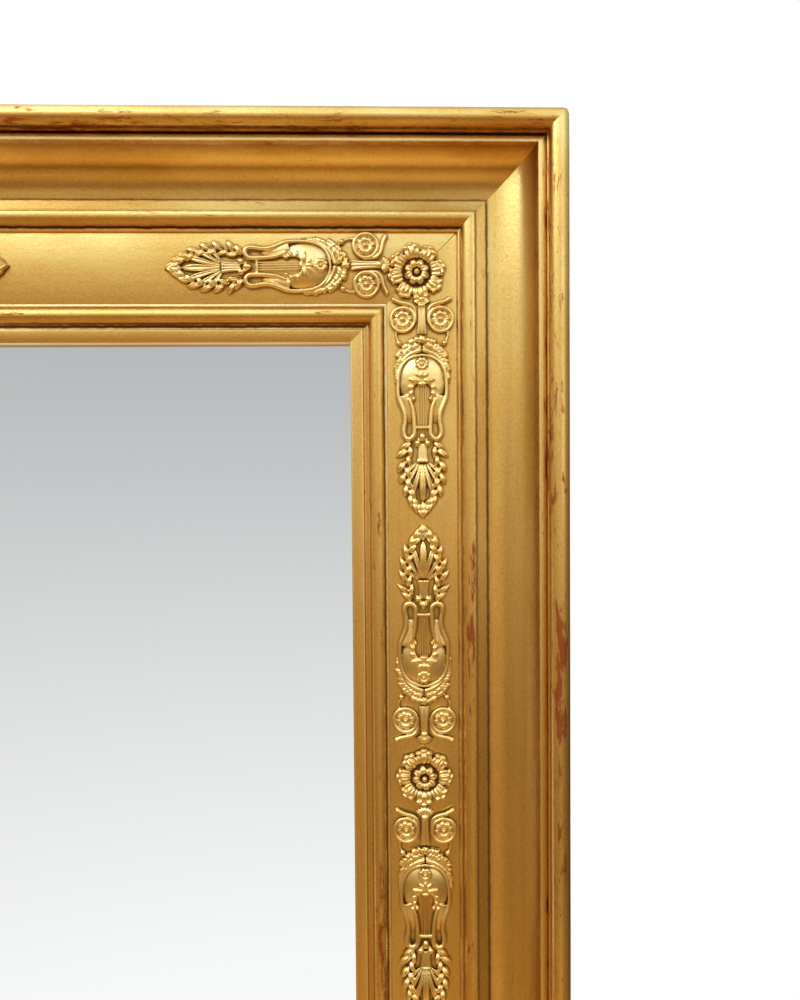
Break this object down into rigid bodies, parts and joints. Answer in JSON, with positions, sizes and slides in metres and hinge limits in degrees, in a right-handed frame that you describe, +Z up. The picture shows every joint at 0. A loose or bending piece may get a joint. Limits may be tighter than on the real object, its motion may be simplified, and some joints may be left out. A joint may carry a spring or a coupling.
{
  "type": "overmantel mirror",
  "caption": "Landscape gilt overmantel mirror: stepped cove frame, pressed lyre and rosette ornament on the frieze, plain plate, boarded back and swinging hanging rings.",
  "frame": {"origin": "middle of the underside, halfway between the wall plane and the outer bead's crest", "axes": "+X to the viewer's right, +Y from the front towards the wall, +Z up"},
  "size_m": [1.144, 0.0908, 0.93],
  "materials": {
    "gilded_wood": "water gilding over red bole, burnished and rubbed",
    "gilded_composition": "pressed composition, gilded, darker in the hollows",
    "silvered_glass": "silvered plate",
    "carcass_pine": "aged pine, unfinished",
    "board_pine": "aged pine boards",
    "hanger_brass": "dull old brass",
    "screw_steel": "dark iron"
  },
  "bodies": {
    "frame": {"astragal_bottom": "gilded_wood", "astragal_left": "gilded_wood", "astragal_right": "gilded_wood", "astragal_top": "gilded_wood", "backboard_1": "board_pine", "backboard_2": "board_pine", "backboard_3": "board_pine", "backboard_4": "board_pine", "backboard_screws": "screw_steel", "bottom_centre_arm_1": "gilded_composition", "bottom_centre_arm_2": "gilded_composition", "bottom_corner_arm_1": "gilded_composition", "bottom_corner_arm_2": "gilded_composition", "carcass_pegs": "carcass_pine", "carcass_rail_bottom": "carcass_pine", "carcass_rail_top": "carcass_pine", "carcass_stile_left": "carcass_pine", "carcass_stile_right": "carcass_pine", "centre_rosette_bottom": "gilded_composition", "centre_rosette_left": "gilded_composition", "centre_rosette_right": "gilded_composition", "centre_rosette_top": "gilded_composition", "corner_rosette_bottom_left": "gilded_composition", "corner_rosette_bottom_right": "gilded_composition", "corner_rosette_top_left": "gilded_composition", "corner_rosette_top_right": "gilded_composition", "cornice_bottom": "gilded_wood", "cornice_left": "gilded_wood", "cornice_right": "gilded_wood", "cornice_top": "gilded_wood", "frieze_bottom": "gilded_wood", "frieze_left": "gilded_wood", "frieze_right": "gilded_wood", "frieze_top": "gilded_wood", "glazing_blocks": "carcass_pine", "hanger_screws": "screw_steel", "hanger_strap_left": "hanger_brass", "hanger_strap_right": "hanger_brass", "left_centre_arm_1": "gilded_composition", "left_centre_arm_2": "gilded_composition", "left_corner_arm_1": "gilded_composition", "left_corner_arm_2": "gilded_composition", "mirror_glass": "silvered_glass", "mitre_tongues": "carcass_pine", "right_centre_arm_1": "gilded_composition", "right_centre_arm_2": "gilded_composition", "right_corner_arm_1": "gilded_composition", "right_corner_arm_2": "gilded_composition", "sight_moulding_bottom": "gilded_wood", "sight_moulding_left": "gilded_wood", "sight_moulding_right": "gilded_wood", "sight_moulding_top": "gilded_wood", "top_centre_arm_1": "gilded_composition", "top_centre_arm_2": "gilded_composition", "top_corner_arm_1": "gilded_composition", "top_corner_arm_2": "gilded_composition"},
    "left_ring": {"hanger_ring_left": "hanger_brass"},
    "right_ring": {"hanger_ring_right": "hanger_brass"}
  },
  "joints": [
    {"name": "left_ring_swing", "type": "hinge", "parent": "frame", "child": "left_ring", "pos_m": [-0.5085, 0.04565, 0.68], "axis": [1, 0, 0], "range_deg": [0, 180]},
    {"name": "right_ring_swing", "type": "hinge", "parent": "frame", "child": "right_ring", "pos_m": [0.5085, 0.04565, 0.68], "axis": [1, 0, 0], "range_deg": [0, 180]}
  ]
}
